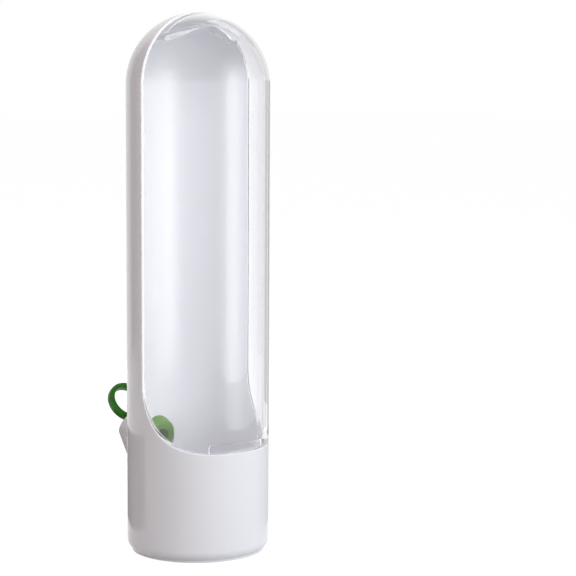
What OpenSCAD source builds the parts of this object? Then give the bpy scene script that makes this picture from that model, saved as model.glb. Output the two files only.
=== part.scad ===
// Herb keeper: a tall round-topped water keeper for a bunch of fresh herbs.
// A white back shell with a fill spout, a base cap that closes it below, a clear
// front cover that tips forward and lifts off, and a soft stopper with a pull loop.
// The origin is the centre of the flat foot. The window looks along -Y and the
// spout stands out along +Y. Side profiles are drawn with Y across and Z up.

/* [Body] */
// Outside diameter of the keeper
body_d = 63; // [60:1:80]
// Height from the table to the top of the dome
body_h = 237; // [180:1:300]
// Wall thickness of the shell and of the clear cover
wall = 2; // [1.6:0.1:2.6]
// Radius of the rounded bottom edge
edge_r = 5; // [4:0.5:8]

/* [Window] */
// Height of the low front rim above the table
rim_z = 47.5; // [36:0.5:60]
// Radius of the sweep from the front rim up to the sides
sweep_r = 30; // [20:1:30]
// Gap between the edges of the cover and the shell
parting_gap = 0.3; // [0.2:0.05:0.5]

/* [Base cap] */
// Thickness of the cap's floor
floor_t = 2.4; // [2.2:0.1:4]
// Height of the upstand that stands inside the shell
upstand_h = 6; // [4:0.5:12]
// Thickness of the upstand
upstand_t = 1.8; // [1.2:0.1:3]
// Radial gap between the upstand and the shell
upstand_fit = 0.1; // [0.05:0.05:0.2]

/* [Lower tongue of the cover] */
// Width of the tongue, end to end
low_tongue_w = 29.6; // [20:0.2:36]
// How far it stands above the front rim
low_tongue_up = 4; // [3:0.5:8]
// How far it hangs below the front rim
low_tongue_down = 8; // [4:0.5:12]
// Thickness of the tongue
low_tongue_t = 1.8; // [1.2:0.1:2.4]
// Corner radius of the tongue
low_tongue_r = 1.4; // [0.8:0.1:1.5]
// Gap between the tongue and the inside of the front wall
low_tongue_gap = 0.3; // [0.2:0.05:0.6]

/* [Top tongue of the cover] */
// Width of the tongue across the dome
top_tongue_w = 40; // [30:1:44]
// Angle that it starts in front of the parting line, seen from the dome's centre
top_tongue_fore = 28; // [15:1:35]
// Angle that it reaches behind the parting line, under the white dome
top_tongue_aft = 13; // [6:1:18]
// Thickness of the tongue
top_tongue_t = 1.8; // [1.2:0.1:2.4]
// Gap between the tongue and the inside of the white dome
top_tongue_gap = 0.6; // [0.5:0.05:1]

/* [Spout] */
// Height of the bore's axis where it meets the inside of the back wall
spout_z = 46; // [40:0.5:56]
// Upward slope of the bore, in degrees
spout_slope = 22; // [16:1:30]
// How far the centre of the mouth stands out from the back wall
spout_out = 11; // [10:0.5:16]
// Upward tilt of the mouth's face, in degrees
mouth_tilt = 39; // [30:1:45]
// Diameter of the bore
bore_d = 17.6; // [14:0.2:20]
// Wall thickness of the spout
spout_wall = 1.9; // [1.6:0.1:3]
// Depth of the seat for the stopper's flange, below the mouth
seat_depth = 1.6; // [1:0.1:2.4]
// Width of the seat's ledge
seat_ledge = 0.7; // [0.5:0.1:1.1]
// Slope of the chin that carries the spout from below, in degrees
chin_slope = 57; // [50:1:65]
// How much narrower the chin is than the spout, on each side
chin_inset = 0.8; // [0.4:0.1:2]

/* [Stopper] */
// Radial gap between the stopper and the spout
stopper_fit = 0.15; // [0.05:0.05:0.3]
// How far the nose stands into the chamber
nose_out = 2; // [1:0.5:6]
// Edge radius of the nose
nose_r = 1.6; // [1:0.1:2]
// Diameter of the blind bore in the nose
nose_bore_d = 9.2; // [6:0.2:12]
// Depth of the blind bore
nose_bore_deep = 13; // [6:1:14]
// Thickness of the flange
flange_t = 1.4; // [0.8:0.1:2]

/* [Pull loop] */
// Outside diameter of the loop
loop_d = 20; // [16:0.5:26]
// Width of the loop's band
loop_band = 2.55; // [2:0.05:4]
// Thickness of the loop
loop_t = 3.8; // [3:0.1:5]
// Upward slope of the loop, in degrees
loop_slope = 49; // [39:1:60]
// How far the loop's root lies below the centre of the mouth
loop_drop = 1.5; // [0:0.1:2.5]
// Length of the neck that carries the loop
neck_l = 1.3; // [0.3:0.1:3]
// Width of the neck
neck_w = 8; // [5:0.5:10]
// Rounding of the band's edges
band_round = 0.8; // [0.4:0.1:1]

/* [Hidden] */
$fn = 96;
body_r = body_d / 2;
inner_r = body_r - wall;
dome_z = body_h - body_r;
// The seam lies where the rounded edge has taken half of the wall away
seam_z = edge_r - sqrt(edge_r * edge_r - pow(edge_r - wall / 2, 2));
bore_r = bore_d / 2;
spout_r = bore_r + spout_wall;
seat_r = bore_r + seat_ledge;
mouth_y = body_r + spout_out;
mouth_z = spout_z + (mouth_y - inner_r) * tan(spout_slope);
plug_r = bore_r - stopper_fit;
flange_r = seat_r - stopper_fit;
// Distance along the bore from the inside of the wall to the centre of the mouth
bore_l = (mouth_y - inner_r) / cos(spout_slope);
loop_r = loop_d / 2;
loop_root_y = mouth_y + loop_drop * sin(mouth_tilt);
loop_root_z = mouth_z - loop_drop * cos(mouth_tilt);
far = 2 * body_h;

// --- Shared outlines and places -------------------------------------------------

// Half section of a round body that stands on z = 0, with a dome on top
module half_section(r, top_z, edge) {
    translate([0, edge]) square([r, top_z - edge]);
    square([r - edge, edge]);
    translate([r - edge, edge]) circle(edge);
    intersection() {
        translate([0, top_z]) circle(r);
        translate([0, top_z]) square([r, r]);
    }
}

module outer_body() {
    rotate_extrude() half_section(body_r, dome_z, edge_r);
}

module cavity() {
    translate([0, 0, -1]) cylinder(r = inner_r, h = dome_z + 1);
    translate([0, 0, dome_z]) sphere(inner_r);
}

// Carries a side profile, drawn as (Y, Z), across the keeper
module side_cut(width = far) {
    rotate([90, 0, 90]) linear_extrude(width, center = true) children();
}

// Everything in front of the parting line, drawn back from it by a gap
module window_side(gap) {
    translate([-far, rim_z + gap]) square([far - sweep_r, far]);
    translate([-far, rim_z + sweep_r]) square([far - gap, far]);
    translate([-sweep_r, rim_z + sweep_r]) circle(sweep_r - gap, $fn = 180);
}

module above(z) {
    translate([-far / 2, -far / 2, z]) cube(far);
}

// Z along the spout's bore, from the inside of the back wall
module at_bore() {
    translate([0, inner_r, spout_z]) rotate([spout_slope - 90, 0, 0]) children();
}

// Z square to the mouth's face, from its centre
module at_mouth() {
    translate([0, mouth_y, mouth_z]) rotate([mouth_tilt - 90, 0, 0]) children();
}

// All that lies below a level measured from the mouth's face
module below_mouth(level) {
    at_mouth() translate([-far / 2, -far / 2, level - far]) cube(far);
}

// --- Back shell -----------------------------------------------------------------

// Wedge below the spout, flat-sided with a round underside, laid along the chin line
module chin() {
    chin_r = spout_r - chin_inset;
    lip = (spout_r - chin_inset / 2) / cos(mouth_tilt - spout_slope);
    intersection() {
        translate([0, mouth_y + lip * sin(mouth_tilt), mouth_z - lip * cos(mouth_tilt)])
            rotate([chin_slope - 90, 0, 0])
                linear_extrude(far, center = true) {
                    translate([0, -chin_r]) circle(chin_r);
                    translate([-chin_r, -body_r]) square([2 * chin_r, body_r - chin_r]);
                }
        at_bore() translate([-far / 2, 0, -far / 2]) cube(far);
        above(edge_r);
    }
}

module spout_body() {
    intersection() {
        union() {
            at_bore() cylinder(r = spout_r, h = bore_l + spout_r);
            chin();
        }
        below_mouth(0);
    }
}

module spout_bore() {
    at_bore() translate([0, 0, -wall * 3]) cylinder(r = bore_r, h = bore_l * 2);
    difference() {
        at_bore() cylinder(r = seat_r, h = bore_l * 2);
        below_mouth(-seat_depth);
    }
}

module back_shell() {
    color("white") difference() {
        union() {
            outer_body();
            spout_body();
        }
        cavity();
        spout_bore();
        side_cut() window_side(0);
        translate([0, 0, seam_z - far]) cylinder(r = body_r, h = far);
    }
}

// --- Base cap -------------------------------------------------------------------

module base_cap() {
    post_r = inner_r - upstand_fit;
    color("gainsboro") difference() {
        union() {
            intersection() {
                outer_body();
                cylinder(r = body_r, h = seam_z);
            }
            cylinder(r = post_r, h = seam_z + upstand_h);
        }
        translate([0, 0, floor_t]) cylinder(r = post_r - upstand_t, h = far);
    }
}

// --- Front cover ----------------------------------------------------------------

// Plate with round corners, centred across, from the low edge up
module round_plate(width, height, corner) {
    translate([-width / 2 + corner, 0]) square([width - 2 * corner, height]);
    translate([-width / 2, corner]) square([width, height - 2 * corner]);
    for (side = [-1, 1], z = [corner, height - corner])
        translate([side * (width / 2 - corner), z]) circle(corner, $fn = 48);
}

module low_tongue_front(height_from) {
    rotate([90, 0, 0]) linear_extrude(far)
        translate([0, height_from])
            round_plate(low_tongue_w, low_tongue_up + low_tongue_down, low_tongue_r);
}

module low_tongue() {
    lap_r = inner_r - low_tongue_gap;
    intersection() {
        low_tongue_front(rim_z - low_tongue_down);
        difference() {
            union() {
                cylinder(r = lap_r, h = dome_z);
                // the part above the rim is one with the cover's wall
                intersection() {
                    cylinder(r = inner_r + wall / 2, h = dome_z);
                    side_cut() window_side(parting_gap);
                }
            }
            translate([0, 0, -1]) cylinder(r = lap_r - low_tongue_t, h = dome_z + 2);
        }
    }
}

// Wedge between two angles either side of the parting line, from the dome's centre
module top_tongue_side() {
    reach = 2 * body_r;
    polygon([
        [0, dome_z],
        [-reach * sin(top_tongue_fore), dome_z + reach * cos(top_tongue_fore)],
        [0, dome_z + reach],
        [reach * sin(top_tongue_aft), dome_z + reach * cos(top_tongue_aft)]
    ]);
}

module top_tongue() {
    lap_r = inner_r - top_tongue_gap;
    intersection() {
        side_cut(top_tongue_w) top_tongue_side();
        difference() {
            union() {
                translate([0, 0, dome_z]) sphere(lap_r);
                intersection() {
                    translate([0, 0, dome_z]) sphere(inner_r + wall / 2);
                    side_cut() window_side(parting_gap);
                }
            }
            translate([0, 0, dome_z]) sphere(lap_r - top_tongue_t);
        }
    }
}

module front_cover() {
    color([0.85, 0.92, 0.95, 0.35]) union() {
        intersection() {
            difference() {
                outer_body();
                cavity();
            }
            side_cut() window_side(parting_gap);
        }
        low_tongue();
        top_tongue();
    }
}

// --- Fill stopper ---------------------------------------------------------------

// Half section of the hollow plug, nose at the bottom, cut off at the flange
module plug_section() {
    length = bore_l + nose_out + spout_r;
    difference() {
        union() {
            translate([0, nose_r]) square([plug_r, length - nose_r]);
            square([plug_r - nose_r, nose_r]);
            translate([plug_r - nose_r, nose_r]) circle(nose_r, $fn = 48);
        }
        translate([0, -1]) square([nose_bore_d / 2, nose_bore_deep + 1]);
    }
}

module plug() {
    intersection() {
        at_bore() translate([0, 0, -nose_out]) rotate_extrude() plug_section();
        below_mouth(flange_t - seat_depth);
    }
}

// Slanted flange, cut square to the mouth and round about the bore
module flange() {
    difference() {
        intersection() {
            at_bore() cylinder(r = flange_r, h = bore_l * 2);
            below_mouth(flange_t - seat_depth);
        }
        below_mouth(-seat_depth);
    }
}

module band_section() {
    translate([loop_r - loop_band, -loop_t / 2])
        for (x = [0, 1])
            translate([x * band_round, (1 - x) * band_round])
                square([loop_band - 2 * x * band_round, loop_t - 2 * (1 - x) * band_round]);
    for (x = [loop_r - loop_band + band_round, loop_r - band_round],
         z = [-1, 1] * (loop_t / 2 - band_round))
        translate([x, z]) circle(band_round, $fn = 32);
}

module pull_loop() {
    // from the flange's face to the loop's centre, along the loop
    rise = loop_r + neck_l;
    translate([0, loop_root_y, loop_root_z]) rotate([loop_slope, 0, 0]) {
        translate([0, rise, 0]) rotate_extrude() band_section();
        translate([-neck_w / 2, -seat_depth, -loop_t / 2])
            cube([neck_w, seat_depth + neck_l + loop_band / 2, loop_t]);
    }
}

module fill_stopper() {
    color("forestgreen") union() {
        plug();
        flange();
        difference() {
            pull_loop();
            below_mouth(-seat_depth + flange_t / 2);
        }
    }
}

back_shell();
base_cap();
front_cover();
fill_stopper();
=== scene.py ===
"""A herb keeper, dressed for a studio picture.

A glossy white back shell with a fill spout, a base cap below it, a clear front
cover with a tongue at each end and a green silicone stopper with a pull loop.
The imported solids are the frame: every new piece takes its place from them.
Lengths are in metres, +Z is up, the window looks along -Y and the spout along +Y.
"""

import math

import bmesh
import bpy
import numpy as np
from mathutils import Matrix, Vector


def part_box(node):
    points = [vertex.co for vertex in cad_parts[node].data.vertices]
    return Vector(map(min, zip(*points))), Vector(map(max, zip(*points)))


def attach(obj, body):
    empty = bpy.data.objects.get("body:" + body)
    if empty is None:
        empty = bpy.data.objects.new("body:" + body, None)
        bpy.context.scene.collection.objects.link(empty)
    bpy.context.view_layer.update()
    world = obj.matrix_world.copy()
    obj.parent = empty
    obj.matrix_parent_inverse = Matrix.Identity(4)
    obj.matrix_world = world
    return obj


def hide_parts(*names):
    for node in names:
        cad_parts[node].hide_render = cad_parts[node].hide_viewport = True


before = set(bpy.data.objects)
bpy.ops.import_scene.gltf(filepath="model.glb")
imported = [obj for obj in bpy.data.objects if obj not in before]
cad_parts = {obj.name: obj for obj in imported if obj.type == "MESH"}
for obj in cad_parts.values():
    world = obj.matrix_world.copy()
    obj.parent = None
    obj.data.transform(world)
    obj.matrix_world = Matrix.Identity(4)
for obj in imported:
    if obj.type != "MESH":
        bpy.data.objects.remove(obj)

bl_info = {
    "name": "Herb keeper",
    "version": (1, 0, 0),
    "blender": (4, 5, 0),
    "location": "View3D > Sidebar > Herb keeper",
    "description": "Builds a herb keeper with a clear cover, a fill spout and a soft stopper",
    "category": "Add Mesh",
}

MM = 0.001
TURN, QUARTER = 2 * math.pi, math.pi / 2
SEAM_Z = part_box("back_shell")[0].z
COVER_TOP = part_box("front_cover")[1]
BODY_R = COVER_TOP.x
DOME_Z = COVER_TOP.z - BODY_R
# Edges that turn by more degrees than these stay crisp: on most pieces, on the cover with
# its tongues, and on the pull loop with its neck
CREASE, COVER_CREASE, LOOP_CREASE = 32, 38, 60
# Points closer than the first length, in metres, are one, and edges under the second go
MERGE, SLIVER = 4e-6, 1e-6


def linear(code):
    """Linear RGBA of an sRGB hex colour: below 0.04045 a share, above it a power of 2.4."""
    part = np.array([int(code[k : k + 2], 16) for k in (0, 2, 4)]) / 255
    low, high = part / 12.92, ((part + 0.055) / 1.055) ** 2.4
    return (*np.where(part <= 0.04045, low, high).tolist(), 1.0)


def number(name, description, value, **kind):
    """A number that a user may change."""
    return bpy.props.FloatProperty(name=name, description=description, default=value, **kind)


def length(name, description, millimetres):
    """A size that a user may change, given in millimetres."""
    return number(name, description, millimetres * MM, unit="LENGTH", subtype="DISTANCE", precision=4)


def angle(name, description, degrees):
    """An angle that a user may change, given in degrees."""
    return number(name, description, math.radians(degrees), unit="ROTATION", subtype="ANGLE")


def colour(name, description, code):
    """A colour that a user may change, given as sRGB hex."""
    return bpy.props.FloatVectorProperty(
        name=name, description=description, default=linear(code), size=4, min=0, max=1, subtype="COLOR"
    )


# --- Sizes and colours ---

class KeeperBodySizes(bpy.types.PropertyGroup):
    """The white back shell and what the clear cover shares with it."""

    wall: length("Wall", "Wall of the shell and of the cover", 2)
    rim_z: length("Rim height", "Height of the low front rim", 47.5)
    sweep_r: length("Sweep radius", "Radius from the front rim up to the sides", 30)
    edge_r: length("Bottom edge radius", "Radius of the rounded bottom edge", 5)
    lip_r: length("Edge rounding", "Rounding of the edges round the window", 0.25)
    seam_bevel: length("Seam bevel", "Bevel at the seam of the base cap", 0.12)
    gap: length("Parting gap", "Gap between the cover and the shell", 0.3)


class KeeperTongueSizes(bpy.types.PropertyGroup):
    """The tongues inside the clear cover."""

    low_w: length("Lower width", "Width of the lower tongue", 29.6)
    low_up: length("Lower rise", "How far it stands above the front rim", 4)
    low_down: length("Lower hang", "How far it hangs below the front rim", 8)
    low_gap: length("Lower gap", "Gap to the inside of the front wall", 0.3)
    low_r: length("Lower corner", "Corner radius of the lower tongue", 1.4)
    top_w: length("Top width", "Width of the top tongue", 40)
    top_fore: angle("Top front", "Angle in front of the parting line", 25)
    top_aft: angle("Top back", "Angle behind the parting line", 13)
    top_gap: length("Top gap", "Gap to the inside of the white dome", 0.6)
    top_front_r: length("Front corner", "Corner radius of the top tongue in front", 8)
    top_back_r: length("Back corner", "Corner radius of the top tongue behind", 2)
    thick: length("Thickness", "Thickness of both tongues", 1.8)
    soft_r: length("Edge rounding", "Rounding of the tongues' edges", 0.5)


class KeeperSpoutSizes(bpy.types.PropertyGroup):
    """The fill spout on the back, with the chin below it."""

    height: length("Height", "Height of the bore's axis at the inside of the wall", 46)
    slope: angle("Slope", "Upward slope of the bore", 22)
    reach: length("Reach", "Distance of the mouth's centre from the back wall", 11)
    tilt: angle("Mouth tilt", "Upward tilt of the mouth's face", 39)
    bore_r: length("Bore radius", "Radius of the bore", 8.8)
    wall: length("Spout wall", "Wall of the spout", 1.9)
    seat_r: length("Seat radius", "Radius of the stopper's seat", 9.5)
    seat_deep: length("Seat depth", "Depth of the seat below the mouth", 1.6)
    chin_slope: angle("Chin slope", "Slope of the chin line below the spout", 57)
    lip_r: length("Lip rounding", "Rounding of the mouth's lip", 0.5)
    foot_r: length("Foot fillet", "Fillet where the spout meets the shell", 1.4)


class KeeperStopperSizes(bpy.types.PropertyGroup):
    """The soft stopper: plug, flange and pull loop."""

    fit: length("Fit", "Gap between the stopper and the spout", 0.15)
    nose_out: length("Nose", "How far the nose stands into the chamber", 2)
    nose_r: length("Nose rounding", "Edge radius of the nose", 1.6)
    hollow_r: length("Hollow radius", "Radius of the blind bore in the nose", 4.6)
    hollow_deep: length("Hollow depth", "Depth of the blind bore", 13)
    flange_t: length("Flange", "Thickness of the flange", 1.4)
    loop_r: length("Loop radius", "Outer radius of the loop", 10)
    band: length("Band", "Width of the loop's band", 2.55)
    loop_t: length("Loop thickness", "Thickness of the loop", 3.8)
    loop_slope: angle("Loop slope", "Upward slope of the loop", 49)
    loop_drop: length("Loop drop", "How far its root lies below the mouth's centre", 1.5)
    neck_l: length("Neck length", "Length of the neck that carries the loop", 1.3)
    neck_w: length("Neck width", "Width of the neck", 8)


class KeeperColours(bpy.types.PropertyGroup):
    """Colours of the pieces and of the studio."""

    shell: colour("Shell", "Glossy white plastic", "F5F4F8")
    cover: colour("Cover", "Clear plastic", "F6F6F8")
    # The stopper's two greens are lit and shaded copies of one silicone: the nose's lighter, yellower
    # green is painted light from the white chamber, and the loop's darker green is painted shade
    # outside
    stopper: colour("Stopper", "Green silicone of the pull loop", "2E7E08")
    nose: colour("Stopper nose", "Lighter green of the plug's nose", "568E06")
    floor: colour("Floor", "Pale studio floor", "BEBEC0")


class KeeperStage(bpy.types.PropertyGroup):
    """The camera and the light."""

    camera_azimuth: angle("Camera azimuth", "Side from which the camera looks", -39.6)
    camera_distance: length("Camera distance", "From the keeper's axis", 843.9)
    camera_height: length("Camera height", "Above the floor", 214.4)
    camera_pitch: angle("Camera pitch", "Fall of the camera's view", 6.611)
    camera_turn: angle("Camera turn", "How far the view turns to the keeper's right", 2.695)
    camera_roll: angle("Camera roll", "Lean of the camera", 0.305)
    camera_lens: number("Lens", "Focal length", 120.23, unit="CAMERA")
    ambient: number("Ambient", "Light from all round, against white as 1", 0.216, min=0)
    room: number("Room", "Grey of the room that gloss mirrors round the backdrop", 0.45, min=0)
    lamps: number("Lamps", "Level of all the softboxes", 1.0, min=0)


# --- Meshes ---

def mirrored(grids):
    """The grids and their images across the YZ plane."""
    return [*grids, *[(grid * [-1, 1, 1])[:, ::-1] for grid in grids]]


def grid_mesh(name, grids, finish):
    """A mesh of grids of points, each rows x columns x 3, with a quad between each four,
    in a material."""
    points, quads, first = [], [], 0
    for grid in grids:
        rows, columns = grid.shape[:2]
        corner = first + np.arange(rows * columns).reshape(rows, columns)
        around = [corner[:-1, :-1], corner[:-1, 1:], corner[1:, 1:], corner[1:, :-1]]
        quads.append(np.stack(around, -1).reshape(-1, 4))
        points.append(grid.reshape(-1, 3))
        first += rows * columns
    mesh = bpy.data.meshes.new(name)
    mesh.from_pydata(np.concatenate(points).tolist(), [], np.concatenate(quads).tolist())
    mesh.materials.append(finish)
    return mesh


def add_object(name, data):
    """A new object in the scene, at the origin."""
    made = bpy.data.objects.new(name, data)
    bpy.context.scene.collection.objects.link(made)
    return made


def make_piece(name, grids, finish, sharp=CREASE):
    """A closed piece of the grids: seams merged, faces outwards, smooth up to a sharp
    angle in degrees."""
    mesh = grid_mesh(name, grids, finish)
    tidy = bmesh.new()
    tidy.from_mesh(mesh)
    bmesh.ops.remove_doubles(tidy, verts=tidy.verts, dist=MERGE)
    bmesh.ops.dissolve_degenerate(tidy, edges=tidy.edges, dist=SLIVER)
    bmesh.ops.recalc_face_normals(tidy, faces=tidy.faces)
    tidy.to_mesh(mesh)
    tidy.free()
    smooth(mesh, sharp)
    return add_object(name, mesh)


def smooth(mesh, sharp=CREASE):
    """Smooth faces, with edges sharper than the given angle left crisp."""
    mesh.polygons.foreach_set("use_smooth", np.ones(len(mesh.polygons), bool))
    mesh.set_sharp_from_angle(angle=math.radians(sharp))


def combine(piece, other, operation):
    """Unites a piece with another closed one, or takes the other away, and removes the other."""
    cut = piece.modifiers.new(operation, "BOOLEAN")
    cut.operation, cut.solver, cut.object = operation, "EXACT", other
    bpy.context.view_layer.update()
    result = piece.evaluated_get(bpy.context.evaluated_depsgraph_get())
    mesh = bpy.data.meshes.new_from_object(result)
    piece.modifiers.clear()
    piece.data = mesh
    bpy.data.objects.remove(other)


def steps(start, stop, count):
    """Even steps from start to stop, both included."""
    return np.linspace(start, stop, count + 1)


def swept(*columns):
    """Stacks one array for each coordinate into points."""
    return np.stack(np.broadcast_arrays(*columns), -1)


def quarter_turn(radius, count):
    """Pairs round a quarter turn: the radius less its cosine part, and less its sine part."""
    turns = steps(0, QUARTER, count)
    return [(radius * (1 - math.cos(turn)), radius * (1 - math.sin(turn))) for turn in turns]


def smooth_step(value, low, high):
    """0 below low, 1 above high, and a smooth rise of three squares less two cubes between."""
    share = np.clip((value - low) / (high - low), 0, 1)
    return share * share * (3 - 2 * share)


# --- The body's outline ---

def window_line(sizes, y, inset):
    """Height of the window's lower line at depth y, drawn back by an inset.

    It is level in front, then a quarter circle of the sweep radius plus the inset."""
    reach = np.maximum(y + sizes.sweep_r, 0)
    radius = sizes.sweep_r + inset
    return sizes.rim_z + sizes.sweep_r - np.sqrt(np.maximum(radius**2 - reach**2, 0))


def line_stations(sizes, flat=8, arc=30):
    """Azimuth of each station along the window's lower line, from the front centre to
    the side, and its share of the turn: even steps on the level part, then even steps
    of the sweep's own angle."""
    turn = steps(0, QUARTER, arc)
    level = steps(-QUARTER, -math.asin(sizes.sweep_r / BODY_R), flat)[:-1]
    swing = np.arcsin((sizes.sweep_r * np.sin(turn) - sizes.sweep_r) / BODY_R)
    return np.concatenate([level, swing]), np.concatenate([level * 0, np.sin(turn)])


def line_points(sizes, radius, inset):
    """Points along the window's lower line at a radius and an inset: each station's
    azimuth, turned by its share of the inset's angle, and the line's height there."""
    azimuth, share = line_stations(sizes)
    azimuth = azimuth + share * np.arcsin(inset / radius)
    y = radius * np.sin(azimuth)
    return azimuth, swept(radius * np.cos(azimuth), y, window_line(sizes, y, inset))


def arch(sizes, radius, y):
    """Half an arch in each plane of depth y: straight legs up to the dome's centre, then
    a quarter circle whose radius is that of the body's section in that plane."""
    reach = np.sqrt(np.maximum(radius**2 - y**2, 0))
    rise = steps(sizes.rim_z + sizes.sweep_r, DOME_Z, 26)[:, None]
    turn = steps(0, QUARTER, 36)[1:, None]
    legs = swept(reach[None, :], y[None, :], rise)
    dome = swept(reach * np.cos(turn), y[None, :], DOME_Z + reach * np.sin(turn))
    return np.concatenate([legs, dome])


def edge_profile(sizes, start, sign):
    """Radius and inset of each point across the rounded edge, from the outer skin to
    the inner one: a quarter turn, the flat face, and a quarter turn."""
    turn = steps(0, QUARTER, 5)
    lip = sizes.lip_r
    outer = BODY_R - lip + lip * np.cos(turn)
    inner = BODY_R - sizes.wall + lip - lip * np.sin(turn)
    depth = lip - lip * np.sin(turn)
    return np.concatenate([outer, inner]), start + sign * np.concatenate([depth, depth[::-1]])


def edge_band(sizes, start, sign):
    """The rounded edge all round the window, as the profile carried along the lower
    line and then up the arch."""
    profile = list(zip(*edge_profile(sizes, start, sign)))
    low = np.stack([line_points(sizes, radius, inset)[1] for radius, inset in profile])
    high = np.stack([arch(sizes, radius, np.array([inset]))[:, 0] for radius, inset in profile])
    return [low, high]


# --- Back shell and base cap ---

def back_depths(radius, inset, count=30, short=0.006):
    """Azimuths and depths from the window's edge to the back: even steps, after one short
    step, in radians, that keeps the shading of the edge to itself."""
    first = math.asin(inset / radius)
    azimuth = np.concatenate([[first], steps(first + short, QUARTER, count)])
    return azimuth, radius * np.sin(azimuth)


def shell_skin(sizes, radius, low_z):
    """One skin of the shell, and the azimuths of its columns: a lower band whose rows run
    from the bottom up to the window's line, in even steps and one short last one, and the
    arches behind the window."""
    azimuth, line = line_points(sizes, radius, sizes.lip_r)
    back, depth = back_depths(radius, sizes.lip_r)
    around = np.concatenate([azimuth, back[1:]])
    top = np.concatenate([line[:, 2], np.full(len(back) - 1, sizes.rim_z + sizes.sweep_r)])
    share = np.append(steps(0, 0.985, 26), 1)[:, None]
    lower = swept(radius * np.cos(around), radius * np.sin(around), low_z + share * (top - low_z))
    return [lower, arch(sizes, radius, depth)], around


def bottom_edge(sizes, around, inner_around):
    """The rounded bottom edge down to the seam of the cap, a small bevel that is 1.6 times
    as wide as it is high, and the flat seam face in to the inner skin."""
    edge = sizes.edge_r
    turn = steps(0, math.asin((edge - SEAM_Z - sizes.seam_bevel) / edge), 8)
    radii = BODY_R - edge + edge * np.cos(turn)
    heights = np.append(edge - edge * np.sin(turn), SEAM_Z)
    radii = np.append(radii, radii[-1] - 1.6 * sizes.seam_bevel)[:, None]
    skirt = swept(radii * np.cos(around), radii * np.sin(around), heights[:, None])
    inner = BODY_R - sizes.wall
    seam_in = swept(inner * np.cos(inner_around), inner * np.sin(inner_around), SEAM_Z)
    return [skirt, np.stack([skirt[-1], seam_in])]


class BoreFrame:
    """Places points by the bore's axis: a radius, a turn about the axis from +X towards
    the top, and a distance along it from the inside of the back wall."""

    def __init__(self, sizes):
        slope, tilt = sizes.slope, sizes.tilt
        inner = BODY_R - bpy.context.scene.keeper_body.wall
        self.start = np.array([0, inner, sizes.height])
        self.along = np.array([0, math.cos(slope), math.sin(slope)])
        self.up = np.array([0, -math.sin(slope), math.cos(slope)])
        run = BODY_R + sizes.reach - inner
        self.mouth = self.start + self.along * run / math.cos(slope)
        self.face = np.array([0, math.cos(tilt), math.sin(tilt)])
        self.face_up = np.array([0, -math.sin(tilt), math.cos(tilt)])

    def at(self, radius, turn, distance):
        """The point at a radius, a turn and a distance."""
        sideways = (radius * np.cos(turn))[..., None] * np.array([1, 0, 0])
        upwards = (radius * np.sin(turn))[..., None] * self.up
        return self.start + sideways + upwards + np.asarray(distance)[..., None] * self.along

    def to_skin(self, radius, turn):
        """The distance at which a point leaves the shell's outer skin, a cylinder."""
        depth = np.sqrt(BODY_R**2 - (radius * np.cos(turn)) ** 2)
        return (depth - self.start[1] - radius * np.sin(turn) * self.up[1]) / self.along[1]

    def to_level(self, radius, turn, level):
        """The distance at which a point meets the plane at a level above the mouth's face."""
        gone = self.at(radius, turn, 0 * turn) - self.mouth
        return (level - gone @ self.face) / (self.along @ self.face)


def bore_solid(sizes):
    """A closed cylinder on the bore's axis, from the chamber to beyond the wall."""
    bore = BoreFrame(sizes)
    turn = steps(0, TURN, 96)
    inside, outside = -8 * MM, 6.5 * MM
    rows = [(0, inside), (sizes.bore_r, inside), (sizes.bore_r, outside), (0, outside)]
    return np.stack([bore.at(np.full_like(turn, radius), turn, at) for radius, at in rows])


def build_shell(context):
    """The white back shell: two skins, the rounded window edge, the bottom edge and the
    seam face, with the bore cut through the back wall."""
    sizes = context.scene.keeper_body
    white = material(moulded_white_abs)
    outer, around = shell_skin(sizes, BODY_R, sizes.edge_r)
    inner, inner_around = shell_skin(sizes, BODY_R - sizes.wall, SEAM_Z)
    grids = [*outer, *inner, *edge_band(sizes, 0, 1), *bottom_edge(sizes, around, inner_around)]
    shell = make_piece("shell_body", mirrored(grids), white)
    combine(shell, make_piece("bore", [bore_solid(context.scene.keeper_spout)], white), "DIFFERENCE")
    smooth(shell.data)
    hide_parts("back_shell")
    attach(shell, "root")


def spout_stations(sizes, half=40, side=7):
    """Turn about the bore of each station round the spout, and the slope of its wall: the
    bore's slope over the upper half and the chin's over the lower one, with even steps
    from one slope to the other at each side."""
    turn = np.concatenate([
        steps(0, math.pi, half),
        np.full(side, math.pi),
        steps(math.pi, TURN, half)[1:],
        np.full(side, TURN),
    ])
    slope = np.concatenate([
        np.full(half + 1, sizes.slope),
        steps(sizes.slope, sizes.chin_slope, side)[1:],
        np.full(half, sizes.chin_slope),
        steps(sizes.chin_slope, sizes.slope, side)[1:],
    ])
    return turn, slope


def spout_inside(sizes, bore, count):
    """Rings inside the spout: the bore from the shell's outer skin in even steps to the
    seat, the seat's flat floor and its wall, and a bevel at the mouth."""
    turn = np.linspace(0, TURN, count)
    bevel = 0.25 * MM
    narrow = np.full(count, sizes.bore_r)
    wide = np.full(count, sizes.seat_r)
    skin = bore.to_skin(sizes.bore_r, turn)
    seat = bore.to_level(narrow, turn, -sizes.seat_deep)
    rows = [bore.at(narrow, turn, skin + share * (seat - skin)) for share in steps(0, 1, 6)]
    for radius, height in ((wide, -sizes.seat_deep), (wide, -bevel), (wide + bevel, 0)):
        rows.append(bore.at(radius, turn, bore.to_level(radius, turn, height)))
    return rows


def shell_reach(rim, back):
    """How far each point of the rim lies from the shell's outer cylinder along its own
    line: the first root of the quadratic that puts it at the body's radius."""
    flat, start = back[:, :2], rim[:, :2]
    square = (flat**2).sum(1)
    cross = (start * flat).sum(1)
    rest = (start**2).sum(1) - BODY_R**2
    return (-cross - np.sqrt(cross * cross - square * rest)) / square


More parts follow.
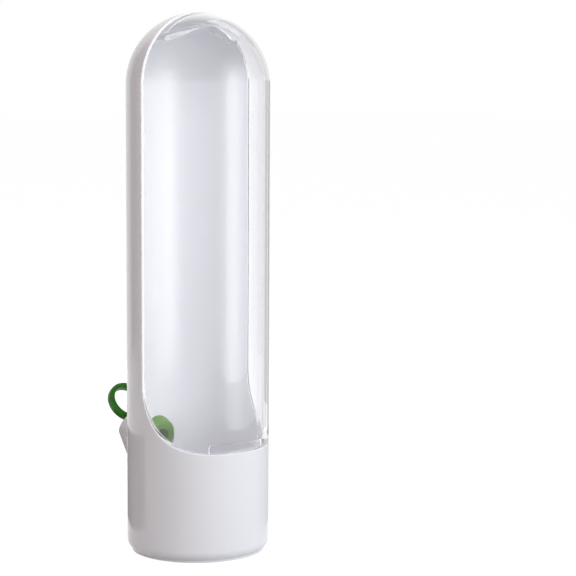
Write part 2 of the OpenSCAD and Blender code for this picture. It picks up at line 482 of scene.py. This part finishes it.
def spout_outside(sizes, bore):
    """Rings outside the spout: a lip of a quarter turn round the mouth's oval, straight
    lines back along each station's slope, a quarter turn that flares over the shell, and
    two rings sunk in its wall."""
    turn, slope = spout_stations(sizes)
    outer_r = sizes.bore_r + sizes.wall
    tall = outer_r / math.cos(sizes.tilt - sizes.slope)
    lip, flare = sizes.lip_r, sizes.foot_r
    shallow, deep = 0.6 * MM, MM

    def mouth_ring(inset):
        """A ring in the mouth's face, an inset in from the rim."""
        across = (outer_r - inset) * np.cos(turn)
        rise = (tall - inset) * np.sin(turn)
        return bore.mouth + swept(across, 0, 0) + rise[:, None] * bore.face_up

    back = -swept(0 * slope, np.cos(slope), np.sin(slope))
    rim = mouth_ring(0)
    span = shell_reach(rim, back)
    foot = rim + span[:, None] * back
    out = foot * [1, 1, 0] / BODY_R
    away = np.cross(np.roll(foot, -1, 0) - np.roll(foot, 1, 0), out)
    away /= np.linalg.norm(away, axis=1)[:, None]
    away *= np.sign(((foot - foot.mean(0)) * away).sum(1))[:, None]
    rows = []
    for inset, drop in quarter_turn(lip, 5)[::-1]:
        rows.append(mouth_ring(inset) + drop * back)
    for share in steps(0, 1, 8)[1:]:
        rows.append(rim + (lip + share * (span - flare - lip))[:, None] * back)
    for spread, short in quarter_turn(flare, 6)[1:]:
        rows.append(foot - short * back + spread * away)
    return [*rows, rows[-1] - shallow * out, foot - deep * out]


def build_spout(context):
    """The fill spout: one closed skin of rings, inside the bore and then outside it."""
    sizes = context.scene.keeper_spout
    bore = BoreFrame(sizes)
    outside = spout_outside(sizes, bore)
    rows = [*spout_inside(sizes, bore, len(outside[0])), *outside]
    rows.append(rows[0])
    spout = make_piece("fill_spout", [np.stack(rows)], material(moulded_white_abs))
    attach(spout, "root")


def build_cap():
    """The base cap keeps its solid, in the shell's own plastic."""
    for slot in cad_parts["base_cap"].material_slots:
        slot.material = material(moulded_white_abs)


# --- Cover ---

def cover_skin(sizes, radius):
    """One skin of the cover: columns along the window's line, rows from the line up to
    the dome's centre after two short ones, and then quarter circles over the dome."""
    azimuth, line = line_points(sizes, radius, -sizes.gap - sizes.lip_r)
    y = radius * np.sin(azimuth)
    reach = radius * np.cos(azimuth)
    share = np.concatenate([[0, 0.0012], steps(0.02, 1, 56)])[:, None]
    wall = swept(reach, y, line[:, 2] + share * (DOME_Z - line[:, 2]))
    turn = steps(0, QUARTER, 36)[:, None]
    dome = swept(reach * np.cos(turn), y[None, :], DOME_Z + reach * np.sin(turn))
    return [wall, dome]


def rounded_loop(width, low, high, low_r, high_r, inset, count=168):
    """A closed rectangle with round corners, drawn in by an inset: four quarter turns
    joined by straight lines, then points at even steps of its length."""
    turn = steps(0, QUARTER, 8)
    least = 0.02 * MM
    corners = ((1, high, high_r), (-1, high, high_r), (-1, low, low_r), (1, low, low_r))
    ends = []
    for quarter, (side, edge, radius) in enumerate(corners):
        radius = max(radius - inset, least)
        inwards = -1 if edge == high else 1
        middle = np.array([side * (width / 2 - inset - radius), edge + inwards * (inset + radius)])
        about = turn + quarter * QUARTER
        ends.append(middle + radius * swept(np.cos(about), np.sin(about)))
    ends = np.concatenate([*ends, ends[0][:1]])
    run = np.concatenate([[0], np.cumsum(np.linalg.norm(np.diff(ends, axis=0), axis=1))])
    even = np.linspace(0, run[-1], count + 1)
    return swept(np.interp(even, run, ends[:, 0]), np.interp(even, run, ends[:, 1]))


def plate(loop, thickness, place, soft, loops=14):
    """A bent plate with soft edges: loops grow from the middle of the inner face to the
    outline, turn round the edge by quarter turns, and shrink again on the outer face."""
    turn = steps(0, QUARTER, 4)
    full = loop(soft)
    middle = (full.max(0) + full.min(0)) / 2
    rows = []
    for share in steps(0, 1, loops)[:-1]:
        inner = middle + share * (full - middle)
        rows.append(place(inner, 0 * inner[:, 0]))
    for step in turn:
        edge = loop(soft - soft * math.sin(step))
        rows.append(place(edge, np.full(len(edge), soft - soft * math.cos(step))))
    for step in turn:
        edge = loop(soft - soft * math.cos(step))
        rows.append(place(edge, thickness(edge) - soft + soft * math.sin(step)))
    for share in steps(1, 0, loops)[1:]:
        outer = middle + share * (full - middle)
        rows.append(place(outer, thickness(outer)))
    return np.stack(rows)


def rooted(body, tongues, edge, gap, rise, clear=0.3 * MM):
    """The thickness of a tongue along its length: its own up to the cover's edge, and then
    a smooth step that fills the gap and half of the cover's wall within a rise. It
    starts clear of the two parting gaps."""
    root = edge + 2 * body.gap + clear

    def thickness(flat):
        return tongues.thick + (body.wall / 2 + gap) * smooth_step(flat[:, 1], root, root + rise)

    return thickness


def low_tongue(body, tongues):
    """The lower tongue, bent round the keeper's axis: across is a length of arc and up a
    height. It thickens into the cover's wall above the rim."""
    lap_r = BODY_R - body.wall - tongues.low_gap
    inner_r = lap_r - tongues.thick
    half = math.asin(tongues.low_w / 2 / lap_r) * lap_r
    low, high = body.rim_z - tongues.low_down, body.rim_z + tongues.low_up

    def loop(inset):
        return rounded_loop(2 * half, low, high, tongues.low_r, tongues.low_r, inset)

    def place(flat, depth):
        turned = flat[:, 0] / lap_r
        radius = inner_r + depth
        return swept(radius * np.sin(turned), -radius * np.cos(turned), flat[:, 1])

    thickness = rooted(body, tongues, body.rim_z, tongues.low_gap, 0.8 * MM)
    return plate(loop, thickness, place, tongues.soft_r)


def top_tongue(body, tongues):
    """The top tongue, bent over the dome: across is a width and along an arc about the
    dome's X axis. It thickens into the cover's wall in front of the parting line."""
    lap_r = BODY_R - body.wall - tongues.top_gap
    inner_r = lap_r - tongues.thick
    aft, fore = -tongues.top_aft * lap_r, tongues.top_fore * lap_r

    def loop(inset):
        return rounded_loop(tongues.top_w, aft, fore, tongues.top_back_r, tongues.top_front_r, inset)

    def place(flat, depth):
        turned = flat[:, 1] / lap_r
        reach = np.sqrt((inner_r + depth) ** 2 - flat[:, 0] ** 2)
        return swept(flat[:, 0], -reach * np.sin(turned), DOME_Z + reach * np.cos(turned))

    thickness = rooted(body, tongues, 0, tongues.top_gap, MM)
    return plate(loop, thickness, place, tongues.soft_r)


def build_cover(context):
    """The clear cover: two skins and their rounded edge, with a tongue below that hooks
    behind the front rim and one on top that slips under the white dome."""
    sizes = context.scene.keeper_body
    tongues = context.scene.keeper_tongues
    clear = material(clear_polished_as)
    grids = [
        *cover_skin(sizes, BODY_R),
        *cover_skin(sizes, BODY_R - sizes.wall),
        *edge_band(sizes, -sizes.gap, -1),
    ]
    cover = make_piece("cover_window", mirrored(grids), clear)
    for name, tongue in (("low_tongue", low_tongue), ("top_tongue", top_tongue)):
        combine(cover, make_piece(name, [tongue(sizes, tongues)], clear), "UNION")
    smooth(cover.data, COVER_CREASE)
    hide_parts("front_cover")
    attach(cover, "cover")


# --- Stopper ---

def plug_profile(sizes, plug_r):
    """Radius and distance along the bore of the plug's rings: the flat end of its hollow,
    a quarter turn into the hollow's wall, one round its mouth, and one round the nose."""
    nose, soft, hollow_r = -sizes.nose_out, sizes.nose_r, sizes.hollow_r
    end = nose + sizes.hollow_deep
    corner, mouth = 0.8 * MM, 0.7 * MM
    profile = [(0, end), (0.7 * hollow_r, end)]
    profile += [(hollow_r - far, end - near) for near, far in quarter_turn(corner, 4)]
    profile += [(hollow_r, nose + share * sizes.hollow_deep) for share in (0.8, 0.6, 0.4, 0.2)]
    profile += [(hollow_r + near, nose + far) for near, far in quarter_turn(mouth, 5)]
    for step in steps(0, QUARTER, 8):
        profile.append((plug_r - soft + soft * math.sin(step), nose + soft - soft * math.cos(step)))
    return profile


def flange_profile(sizes, spout):
    """Radius and level above the mouth's face of the flange's rings: a bevel below, the
    rim, a quarter turn, and the flat top in to the axis."""
    flange_r = spout.seat_r - sizes.fit
    under, top = -spout.seat_deep, sizes.flange_t - spout.seat_deep
    bevel, soft = 0.1 * MM, 0.35 * MM
    profile = [(flange_r - bevel, under), (flange_r, under + bevel), (flange_r, top - soft)]
    profile += [(flange_r - near, top - far) for near, far in quarter_turn(soft, 4)[1:]]
    return profile + [(share * flange_r, top) for share in (0.85, 0.6, 0.3, 0)]


def stopper_plug(sizes, spout):
    """The plug and its flange: rings turned about the bore's axis, square to it up to the
    nose's edge, and slanted with the mouth's face from the underside of the flange on."""
    bore = BoreFrame(spout)
    plug_r = spout.bore_r - sizes.fit
    turn = steps(0, TURN, 96)
    whole = np.ones_like(turn)
    profile = plug_profile(sizes, plug_r)
    rows = [bore.at(radius * whole, turn, at * whole) for radius, at in profile]
    last = profile[-1][1]
    end = bore.to_level(plug_r * whole, turn, -spout.seat_deep)
    for share in (0.25, 0.5, 0.75, 1):
        rows.append(bore.at(plug_r * whole, turn, last + share * (end - last)))
    for radius, height in flange_profile(sizes, spout):
        rows.append(bore.at(radius * whole, turn, bore.to_level(radius * whole, turn, height)))
    return np.stack(rows)


def squared(wave, power=3.6):
    """A sine or cosine to the power of two over the given one, with its sign kept. Two of
    them draw a superellipse, rounder than a rectangle and fuller than an ellipse."""
    return np.sign(wave) * np.abs(wave) ** (2 / power)


def stopper_loop(sizes, spout):
    """The pull loop and its neck: a superellipse carried round a circle, and a second one
    carried straight from inside the flange into the loop's band. At its root the neck is
    22% wider and 30% thicker, by a cubic."""
    bore = BoreFrame(spout)
    side = np.array([1, 0, 0])
    rise = np.array([0, math.cos(sizes.loop_slope), math.sin(sizes.loop_slope)])
    lift = np.array([0, -math.sin(sizes.loop_slope), math.cos(sizes.loop_slope)])
    root = bore.mouth - sizes.loop_drop * bore.face_up
    middle = root + (sizes.loop_r + sizes.neck_l) * rise
    section = steps(0, TURN, 48)[None, :]
    wide, high = squared(np.cos(section)), squared(np.sin(section))
    half_band, half_t = sizes.band / 2, sizes.loop_t / 2

    def placed(start, across, along, upwards):
        """Points at lengths to the side, along the loop's slope and up from its plane."""
        across, along, upwards = np.broadcast_arrays(across, along, upwards)
        return start + across[..., None] * side + along[..., None] * rise + upwards[..., None] * lift

    about = steps(0, TURN, 120)[:, None]
    outward = sizes.loop_r - half_band + half_band * wide
    ring = placed(middle, outward * np.cos(about), outward * np.sin(about), half_t * high)
    share = steps(0, 1, 14)[:, None]
    widen, thicken = 1 + 0.22 * (1 - share) ** 3, 1 + 0.3 * (1 - share) ** 3
    start, stop = -0.6 * MM, sizes.neck_l + 0.75 * sizes.band
    run = start + share * (stop - start)
    neck = placed(root, sizes.neck_w / 2 * widen * wide, run, half_t * thicken * high)
    ends = [0 * neck[:1] + neck[row].mean(0) for row in (0, -1)]
    return ring, np.concatenate([ends[0], neck, ends[1]])


def build_stopper(context):
    """The stopper: a plug with a hollow nose, a slanted flange and the pull loop."""
    sizes = context.scene.keeper_stopper
    spout = context.scene.keeper_spout
    silicone = material(green_silicone_with_painted_light)
    plug = make_piece("stopper_plug", [stopper_plug(sizes, spout)], silicone)
    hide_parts("fill_stopper")
    ring, neck = stopper_loop(sizes, spout)
    loop = make_piece("stopper_loop", [ring], silicone, LOOP_CREASE)
    stem = make_piece("stopper_neck", [neck], silicone, LOOP_CREASE)
    for piece in (plug, loop, stem):
        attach(piece, "stopper")


# --- Materials ---

WHITE = (1, 1, 1, 1)
SMOOTH = {"interpolation_type": "SMOOTHSTEP"}


def add_node(tree, kind, settings=None, links=None):
    """Adds one shader node, sets its sockets or properties, and links its inputs, each to
    a socket or to the first output of a node."""
    made = tree.nodes.new("ShaderNode" + kind)
    for key, value in (settings or {}).items():
        if isinstance(key, int) or key in made.inputs:
            made.inputs[key].default_value = value
        else:
            setattr(made, key, value)
    for key, source in (links or {}).items():
        if isinstance(source, bpy.types.Node):
            source = source.outputs[0]
        tree.links.new(source, made.inputs[key])
    return made


def cleared(owner):
    """The empty node tree of a material, a lamp or a world."""
    owner.use_nodes = True
    owner.node_tree.nodes.clear()
    return owner.node_tree


def material(surface, *options, name=None):
    """The material that a function draws, under the function's name or a given one. The
    first time, the function adds its nodes to the empty tree and returns its surface."""
    name = name or surface.__name__
    if name not in bpy.data.materials:
        tree = cleared(bpy.data.materials.new(name))
        add_node(tree, "OutputMaterial", {}, {"Surface": surface(tree, *options)})
    return bpy.data.materials[name]


def moulded_white_abs(tree):
    """Injection-moulded ABS from a polished tool: opaque white with a clean gloss, and a
    faint waviness that softens what it mirrors."""
    place = add_node(tree, "TexCoord").outputs["Object"]
    # flow waviness about 6 mm across, far under a tenth of a millimetre deep
    waves = add_node(tree, "TexNoise", {"Scale": 1 / (6 * MM), "Detail": 2.0}, {"Vector": place})
    bump = add_node(tree, "Bump", {"Strength": 0.25, "Distance": 0.02 * MM}, {"Height": waves})
    # handling leaves the gloss a little uneven, in patches of about 15 mm
    patches = add_node(tree, "TexNoise", {"Scale": 1 / (15 * MM), "Detail": 4.0}, {"Vector": place})
    spread = {"From Min": 0.3, "From Max": 0.7, "To Min": 0.10, "To Max": 0.15}
    rough = add_node(tree, "MapRange", spread, {"Value": patches})
    skin = {"Base Color": bpy.context.scene.keeper_colours.shell, "IOR": 1.53}
    return add_node(tree, "BsdfPrincipled", skin, {"Roughness": rough, "Normal": bump})


def clear_polished_as(tree):
    """Clear moulded AS, polished: bends light like a dense plastic, and lets the light
    that falls on what stands behind it straight through."""
    shown = add_node(tree, "BsdfPrincipled", {
        "Base Color": bpy.context.scene.keeper_colours.cover,
        "IOR": 1.57,
        "Roughness": 0.02,
        "Transmission Weight": 1.0,
    })
    path = add_node(tree, "LightPath")
    passing = add_node(tree, "BsdfTransparent", {"Color": WHITE})
    for kind in ("Is Reflection Ray", "Is Shadow Ray"):
        shown = add_node(tree, "MixShader", {}, {0: path.outputs[kind], 1: shown, 2: passing})
    return shown


def green_silicone_with_painted_light(tree):
    """Moulded silicone rubber: a satin skin with a little light inside it. The plug's nose in the
    chamber is painted a lighter, yellower green as painted light from the white chamber, and the loop
    outside keeps a darker green that stands for the same silicone in shade; the change lies between two
    depths in the back wall."""
    # painted light: between these depths the loop's shaded green turns into the nose's lit green
    outside_y, inside_y = 36 * MM, 30 * MM
    colours = bpy.context.scene.keeper_colours
    place = add_node(tree, "TexCoord").outputs["Object"]
    # the mould's fine grain, half a millimetre across
    grain = add_node(tree, "TexNoise", {"Scale": 1 / (0.5 * MM), "Detail": 3.0}, {"Vector": place})
    bump = add_node(tree, "Bump", {"Strength": 0.2, "Distance": 0.03 * MM}, {"Height": grain})
    depth = add_node(tree, "SeparateXYZ", {}, {"Vector": place}).outputs["Y"]
    # share of painted light: 0 outside the back wall, 1 in the chamber
    inside = add_node(tree, "MapRange", {"From Min": outside_y, "From Max": inside_y}, {"Value": depth})
    pair = {"data_type": "RGBA", "A": colours.stopper, "B": colours.nose}
    green_with_painted_light = add_node(tree, "Mix", pair, {"Factor": inside}).outputs["Result"]
    skin = {
        "IOR": 1.41,
        "Roughness": 0.38,
        "Subsurface Weight": 0.15,
        "Subsurface Radius": (0.3, 1.0, 0.15),
        "Subsurface Scale": 1.5 * MM,
    }
    return add_node(tree, "BsdfPrincipled", skin, {"Base Color": green_with_painted_light, "Normal": bump})


def seen_directly(tree, path):
    """1 for a ray from the camera, also through glass or off a gloss, and 0 for light on
    its way, which has left a matt surface before."""
    seen = path.outputs["Is Camera Ray"]
    for kind in ("Is Transmission Ray", "Is Glossy Ray"):
        seen = add_node(tree, "Math", {"operation": "MAXIMUM"}, {0: seen, 1: path.outputs[kind]})
    matt = path.outputs["Diffuse Depth"]
    fresh = add_node(tree, "Math", {"operation": "LESS_THAN", 1: 0.5}, {0: matt})
    return add_node(tree, "Math", {"operation": "MULTIPLY"}, {0: seen, 1: fresh})


def studio_floor_paper(tree):
    """Pale matt paper that keeps a soft shadow and reads as white to the camera: where it
    is seen, a glow a little above white covers most of it, and the shadow falls on the rest."""
    glow_level, glow_share = 1.38, 0.7
    seen = seen_directly(tree, add_node(tree, "LightPath"))
    paper = add_node(tree, "BsdfDiffuse", {"Color": bpy.context.scene.keeper_colours.floor})
    glow = add_node(tree, "Emission", {"Color": WHITE, "Strength": glow_level})
    share = add_node(tree, "Math", {"operation": "MULTIPLY", 1: glow_share}, {0: seen})
    return add_node(tree, "MixShader", {}, {0: share, 1: paper, 2: glow})


def card_grey_glow(tree, grey):
    """A grey glow in place of a studio card's paper, that shows in the gloss at a grey level against
    white as 1.
    """
    return add_node(tree, "Emission", {"Color": WHITE, "Strength": grey})


# --- Studio ---

# Each softbox: azimuth in degrees to the camera's right, distance, width, lower and upper
# edge in metres, glow against white as 1, tint, and whether it shows in the gloss. The key
# and the left ones draw the soft bands there; the others only light the keeper. Their
# distances differ, so that no two lie in one plane.
SOFTBOXES = (
    ("key", 51, 0.500, 0.42, 0.0, 0.60, 1.66, "FEFFFA", True),
    ("key_wide", 60, 0.503, 0.80, 0.0, 0.65, 1.66, "F0FDFF", True),
    ("front", 22, 0.506, 0.70, 0.0, 0.32, 0.75, "F4FFFA", False),
    ("left", -50, 0.509, 0.80, 0.0, 0.80, 0.47, "FFFBDC", True),
    ("left_side", -75, 0.512, 0.50, 0.05, 0.40, 0.42, "FFF7E0", True),
    ("back", -156, 0.515, 0.60, 0.0, 0.60, 3.6, "F4FFF6", False),
    ("high_right", 60, 0.518, 0.90, 0.5, 1.10, 3.8, "F4FDFF", False),
    ("overhead", 78, 0.220, 0.50, 0.6, 1.30, 7.0, "FFFFFF", False),
    ("high_left", -10, 0.521, 0.90, 0.5, 1.10, 2.4, "FCFCFF", False),
)
# Each grey card: azimuth, distance, width, lower and upper edge as above, and its grey against white as
# 1. The far two shade the keeper's sides in the gloss. The near ones, closer than any real card could
# stand and unseen by the camera, are painted shade: dark reflections on its foot and along the window's
# far edge.
CARDS = (
    ("card_left", -121, 0.60, 0.26, 0.0, 0.6, 0.4),
    ("card_right", 126, 0.60, 0.42, 0.0, 0.6, 0.75),
    # painted shade: the near cards put dark reflections on the foot and along the window's far edge
    ("card_far_edge", 113, 0.069, 0.022, 0.046, 0.21, 0.12),
    ("card_low_left", -110, 0.066, 0.085, 0.0, 0.045, 0.12),
    ("card_low_right", 118, 0.066, 0.060, 0.0, 0.045, 0.65),
)
# Shares of a softbox's width and height, from the side and from the top, over which its
# glow rises to full
SIDE_FADE, TOP_FADE = 0.5, 0.65
# The light from all round is a little rosy
AMBIENT_TINT = "FFE9F8"
# Cosine to the backdrop's middle at which the room's grey ends and the full white starts
BACKDROP_EDGE, BACKDROP_WHITE = 0.2, 0.75
# Sine of the height above the horizon by which the room's grey has come in
ROOM_FADE = 0.25


def look(location, yaw, pitch, roll):
    """A camera's matrix: yaw is its heading from +Y towards +X, pitch its fall below the
    horizon, and roll its lean to the left."""
    heading = np.array([math.sin(yaw), math.cos(yaw), 0])
    right = np.array([math.cos(yaw), -math.sin(yaw), 0])
    forward = heading * math.cos(pitch) - np.array([0, 0, math.sin(pitch)])
    up = np.array([0, 0, math.cos(pitch)]) + heading * math.sin(pitch)
    lean_right = right * math.cos(roll) + up * math.sin(roll)
    lean_up = up * math.cos(roll) - right * math.sin(roll)
    columns = np.column_stack([lean_right, lean_up, -forward, location])
    return Matrix(np.vstack([columns, [0, 0, 0, 1]]).tolist())


def facing(azimuth):
    """Unit vectors away from the keeper, and along a board that faces it, at an azimuth in
    degrees from the camera's own to its right."""
    turned = bpy.context.scene.keeper_stage.camera_azimuth + math.radians(azimuth)
    away = np.array([math.sin(turned), -math.cos(turned), 0])
    return away, np.array([math.cos(turned), math.sin(turned), 0])


def add_lamp(name, azimuth, distance, width, low, high, glow, tint, in_gloss):
    """A softbox that faces the keeper. Its glow, against white as 1, fades by a smooth step
    from its middle to its sides and over its upper part; its power is pi times the glow
    times its area."""
    lamp = bpy.data.lights.new(name, "AREA")
    lamp.shape, lamp.size, lamp.size_y = "RECTANGLE", width, high - low
    lamp.energy = math.pi * glow * width * (high - low)
    tree = cleared(lamp)
    place = add_node(tree, "NewGeometry").outputs["Parametric"]
    across = add_node(tree, "SeparateXYZ", {}, {"Vector": place})
    inwards = add_node(tree, "Math", {"operation": "PINGPONG", 1: 0.5}, {0: across.outputs["X"]})
    down = add_node(tree, "Math", {"operation": "SUBTRACT", 0: 1.0}, {1: across.outputs["Y"]})
    side = add_node(tree, "MapRange", SMOOTH | {"From Max": SIDE_FADE}, {"Value": inwards})
    top = add_node(tree, "MapRange", SMOOTH | {"From Max": TOP_FADE}, {"Value": down})
    both = add_node(tree, "Math", {"operation": "MULTIPLY"}, {0: side, 1: top})
    shine = add_node(tree, "Emission", {"Color": linear(tint)}, {"Strength": both})
    add_node(tree, "OutputLight", {}, {"Surface": shine})
    away = Vector(facing(azimuth)[0])
    thing = add_object(name, lamp)
    thing.location = away * distance + Vector((0, 0, (low + high) / 2))
    thing.rotation_euler = (-away).to_track_quat("-Z", "Y").to_euler()
    thing.visible_camera = thing.visible_transmission = False
    thing.visible_glossy = in_gloss


def add_card(name, azimuth, distance, width, low, high, grey):
    """A grey card that only shows in the gloss, where it draws the edges of clear and glossy pieces.
    The far ones stand as in a photographer's studio; the near ones are painted shade, dark reflections
    that stand in for shade at the foot and along the window's far edge."""
    away, along = facing(azimuth)
    along = along * width / 2
    foot = np.stack([away * distance - along, away * distance + along]) + [0, 0, low]
    corners = np.stack([foot, foot + [0, 0, high - low]])
    card = add_object(name, grid_mesh(name, [corners], material(card_grey_glow, grey, name=name)))
    card.visible_camera = card.visible_diffuse = card.visible_transmission = card.visible_shadow = False


def build_world(stage):
    """The room's light. Where it is seen it is white, and otherwise the tinted ambient
    level. Gloss mirrors it white at the horizon and towards the backdrop, and as the room's
    grey elsewhere, which comes in by a smooth step above the horizon."""
    world = bpy.data.worlds.new("studio")
    tree = cleared(world)
    path = add_node(tree, "LightPath")
    seen = seen_directly(tree, path)
    place = add_node(tree, "TexCoord").outputs["Generated"]
    behind = (-math.sin(stage.camera_azimuth), math.cos(stage.camera_azimuth), 0)
    backdrop = add_node(tree, "VectorMath", {"operation": "DOT_PRODUCT", 1: behind}, {0: place})
    sides = SMOOTH | {"From Min": BACKDROP_EDGE, "From Max": BACKDROP_WHITE, "To Min": stage.room}
    around = add_node(tree, "MapRange", sides, {"Value": backdrop.outputs["Value"]})
    height = add_node(tree, "SeparateXYZ", {}, {"Vector": place}).outputs["Z"]
    upwards = SMOOTH | {"From Max": ROOM_FADE, "To Min": 1.0}
    above = add_node(tree, "MapRange", upwards, {"Value": height, "To Max": around})
    glossy = path.outputs["Glossy Depth"]
    off_gloss = add_node(tree, "Math", {"operation": "MINIMUM", 1: 1.0}, {0: glossy})
    shown = add_node(tree, "MapRange", {"To Min": 1.0}, {"Value": off_gloss, "To Max": above})
    strength = add_node(tree, "MapRange", {"To Min": stage.ambient}, {"Value": seen, "To Max": shown})
    pair = {"data_type": "RGBA", "A": linear(AMBIENT_TINT), "B": WHITE}
    tint = add_node(tree, "Mix", pair, {"Factor": seen}).outputs["Result"]
    light = add_node(tree, "Background", {}, {"Color": tint, "Strength": strength})
    add_node(tree, "OutputWorld", {}, {"Surface": light})
    return world


def add_camera(stage):
    """The camera, at a distance and a height from the keeper's foot, turned as it is set."""
    camera = add_object("camera", bpy.data.cameras.new("camera"))
    camera.data.lens, camera.data.sensor_width = stage.camera_lens, 36.0
    camera.data.clip_start, camera.data.clip_end = 0.01, 50
    location = facing(0)[0] * stage.camera_distance + [0, 0, stage.camera_height]
    yaw = stage.camera_turn - stage.camera_azimuth
    camera.matrix_world = look(location, yaw, stage.camera_pitch, stage.camera_roll)
    return camera


def build_stage(context):
    """Floor, room light, softboxes, grey cards and camera."""
    stage = context.scene.keeper_stage
    reach = 6.0
    corners = reach * np.array([[[-1, -1, 0], [1, -1, 0]], [[-1, 1, 0], [1, 1, 0]]])
    paper = material(studio_floor_paper)
    floor = add_object("studio_floor", grid_mesh("studio_floor", [corners], paper))
    context.scene.world = build_world(stage)
    for name, azimuth, distance, width, low, high, glow, *finish in SOFTBOXES:
        add_lamp(name, azimuth, distance, width, low, high, glow * stage.lamps, *finish)
    for card in CARDS:
        add_card(*card)
    context.scene.camera = add_camera(stage)
    context.scene.view_settings.view_transform = "Standard"


# --- Operators and panel ---

class HERBKEEPER_OT_shell(bpy.types.Operator):
    """Build the white back shell"""

    bl_idname = "herbkeeper.shell"
    bl_label = "Back shell"

    def execute(self, context):
        build_shell(context)
        return {"FINISHED"}


class HERBKEEPER_OT_spout(bpy.types.Operator):
    """Build the fill spout"""

    bl_idname = "herbkeeper.spout"
    bl_label = "Fill spout"

    def execute(self, context):
        build_spout(context)
        return {"FINISHED"}


class HERBKEEPER_OT_cap(bpy.types.Operator):
    """Finish the base cap"""

    bl_idname = "herbkeeper.cap"
    bl_label = "Base cap"

    def execute(self, context):
        build_cap()
        return {"FINISHED"}


class HERBKEEPER_OT_cover(bpy.types.Operator):
    """Build the clear cover"""

    bl_idname = "herbkeeper.cover"
    bl_label = "Clear cover"

    def execute(self, context):
        build_cover(context)
        return {"FINISHED"}


class HERBKEEPER_OT_stopper(bpy.types.Operator):
    """Build the soft stopper"""

    bl_idname = "herbkeeper.stopper"
    bl_label = "Stopper"

    def execute(self, context):
        build_stopper(context)
        return {"FINISHED"}


class HERBKEEPER_OT_stage(bpy.types.Operator):
    """Set up the floor, the light and the camera"""

    bl_idname = "herbkeeper.stage"
    bl_label = "Studio"

    def execute(self, context):
        build_stage(context)
        return {"FINISHED"}


class HERBKEEPER_PT_panel(bpy.types.Panel):
    """The herb keeper's pieces, in the sidebar"""

    bl_idname = "HERBKEEPER_PT_panel"
    bl_label = "Herb keeper"
    bl_space_type = "VIEW_3D"
    bl_region_type = "UI"
    bl_category = "Herb keeper"

    def draw(self, context):
        for operator in OPERATORS:
            self.layout.operator(operator.bl_idname)


GROUPS = {
    "keeper_body": KeeperBodySizes,
    "keeper_tongues": KeeperTongueSizes,
    "keeper_spout": KeeperSpoutSizes,
    "keeper_stopper": KeeperStopperSizes,
    "keeper_colours": KeeperColours,
    "keeper_stage": KeeperStage,
}
OPERATORS = (
    HERBKEEPER_OT_shell,
    HERBKEEPER_OT_spout,
    HERBKEEPER_OT_cap,
    HERBKEEPER_OT_cover,
    HERBKEEPER_OT_stopper,
    HERBKEEPER_OT_stage,
)


def register():
    """Registers the sizes, the operators and the panel."""
    for name, group in GROUPS.items():
        bpy.utils.register_class(group)
        setattr(bpy.types.Scene, name, bpy.props.PointerProperty(type=group))
    for kind in (*OPERATORS, HERBKEEPER_PT_panel):
        bpy.utils.register_class(kind)


def unregister():
    """Removes what register added."""
    for kind in (HERBKEEPER_PT_panel, *reversed(OPERATORS)):
        bpy.utils.unregister_class(kind)
    for name, group in reversed(GROUPS.items()):
        delattr(bpy.types.Scene, name)
        bpy.utils.unregister_class(group)


def main():
    """Builds every piece in order."""
    register()
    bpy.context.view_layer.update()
    for operator in OPERATORS:
        group, name = operator.bl_idname.split(".")
        getattr(getattr(bpy.ops, group), name)()


if __name__ == "__main__":
    main()
